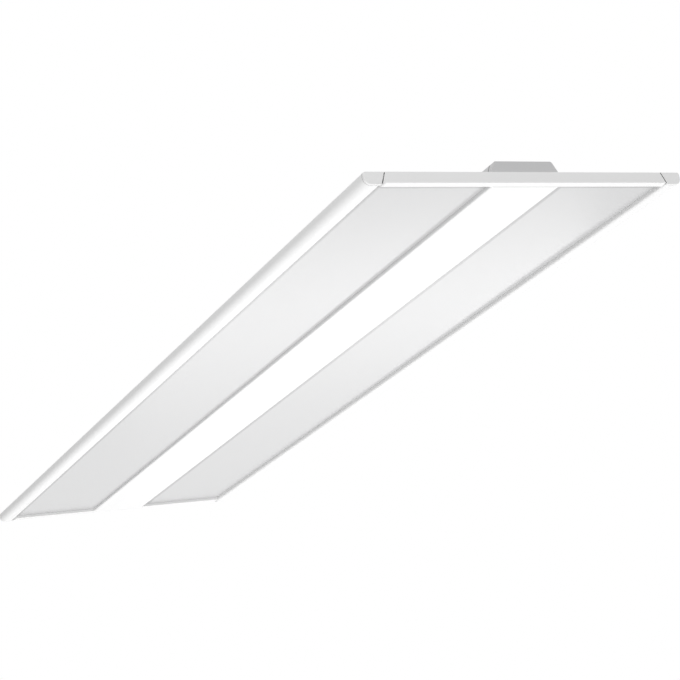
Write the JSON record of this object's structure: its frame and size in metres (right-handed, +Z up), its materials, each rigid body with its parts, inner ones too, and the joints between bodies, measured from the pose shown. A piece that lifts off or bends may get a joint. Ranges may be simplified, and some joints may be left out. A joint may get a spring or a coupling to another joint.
{
  "type": "linear ceiling light",
  "caption": "Slim linear ceiling light with two frosted lens bays in a rounded white frame and a driver channel with a hinged wiring door on top.",
  "frame": {"origin": "centre of the four hanging holes, on the upper face of the driver channel", "axes": "+X along the light towards its front end, +Y across it, +Z up away from the lenses"},
  "size_m": [1.162, 0.354, 0.0315],
  "materials": {
    "white_rail": "white powder coat, satin",
    "white_casting": "white powder coat on a casting, satin",
    "frosted_lens": "frosted acrylic, fine matte grain",
    "clear_guide": "clear acrylic, polished",
    "reflector": "white polyester film, matte",
    "foam": "closed-cell foam sheet",
    "white_sheet": "white coated steel sheet, satin",
    "light_board": "white solder-masked board",
    "white_plastic": "moulded nylon",
    "lead_white": "white insulation, satin",
    "lead_black": "black insulation, satin",
    "grey_sheet": "pale grey coated steel sheet, satin",
    "zinc_steel": "zinc-plated steel",
    "driver_case": "white coated aluminium case",
    "black_plastic": "black nylon, satin",
    "terminal_plastic": "amber moulded plastic"
  },
  "bodies": {
    "fixture": {"back_panel_left": "white_sheet", "back_panel_right": "white_sheet", "cap_screws": "zinc_steel", "center_spine": "white_rail", "channel_cap_front": "grey_sheet", "channel_cap_rear": "grey_sheet", "channel_screws": "zinc_steel", "corner_cap_front_left": "white_casting", "corner_cap_front_right": "white_casting", "corner_cap_rear_left": "white_casting", "corner_cap_rear_right": "white_casting", "diffuser_left": "frosted_lens", "diffuser_right": "frosted_lens", "door_nut": "zinc_steel", "driver_channel": "grey_sheet", "driver_screws_front": "zinc_steel", "driver_screws_rear": "zinc_steel", "end_rail_front": "white_rail", "end_rail_rear": "white_rail", "foam_pad_left": "foam", "foam_pad_right": "foam", "hanger_plate_front": "zinc_steel", "hanger_plate_rear": "zinc_steel", "hanger_rivets": "zinc_steel", "hinge_leaf": "zinc_steel", "hinge_pin": "zinc_steel", "hinge_rivets": "zinc_steel", "led_connector_left": "white_plastic", "led_connector_right": "white_plastic", "led_driver_front": "driver_case", "led_driver_rear": "driver_case", "led_lead_left": "lead_white", "led_lead_right": "lead_white", "led_strip_left": "light_board", "led_strip_right": "light_board", "light_guide_left": "clear_guide", "light_guide_right": "clear_guide", "panel_screws_end": "zinc_steel", "panel_screws_side": "zinc_steel", "reflector_sheet_left": "reflector", "reflector_sheet_right": "reflector", "side_rail_left": "white_rail", "side_rail_right": "white_rail", "supply_bushing": "black_plastic", "supply_leads_front": "lead_black", "supply_leads_rear": "lead_black", "supply_terminal": "terminal_plastic"},
    "door": {"access_door": "grey_sheet", "door_thumbscrew": "zinc_steel"}
  },
  "joints": [
    {"name": "door_hinge", "type": "hinge", "parent": "fixture", "child": "door", "pos_m": [-0.078, 0, 0.0025], "axis": [0, -1, 0], "range_deg": [0, 105]}
  ]
}
